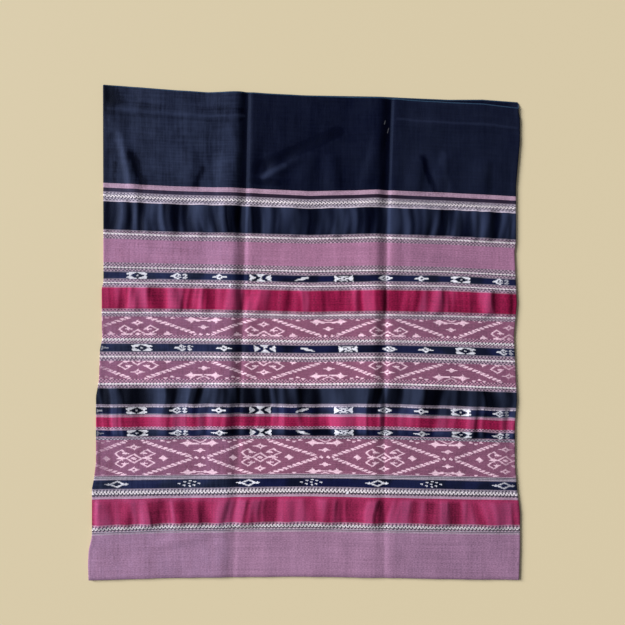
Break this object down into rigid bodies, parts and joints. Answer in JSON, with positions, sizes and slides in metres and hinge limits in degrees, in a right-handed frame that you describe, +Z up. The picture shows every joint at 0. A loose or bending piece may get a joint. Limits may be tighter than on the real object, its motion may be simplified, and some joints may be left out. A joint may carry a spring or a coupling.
{
  "type": "handwoven fabric",
  "caption": "Handwoven tube cloth laid flat: two layers joined by soft side folds, open at both ends, with stripes, tie-dyed motif bands and fold creases.",
  "frame": {"origin": "middle of the face that the cloth rests on", "axes": "+X across the cloth towards the picture's right, +Y along the cloth towards its dark upper end, +Z up"},
  "size_m": [0.6495, 0.744, 0.006],
  "materials": {
    "cotton_cloth": "warp-faced handwoven cotton, matt with a faint sheen, navy, mauve and magenta stripes with tie-dyed motifs"
  },
  "bodies": {
    "root": {"tube_cloth": "cotton_cloth"}
  },
  "joints": []
}
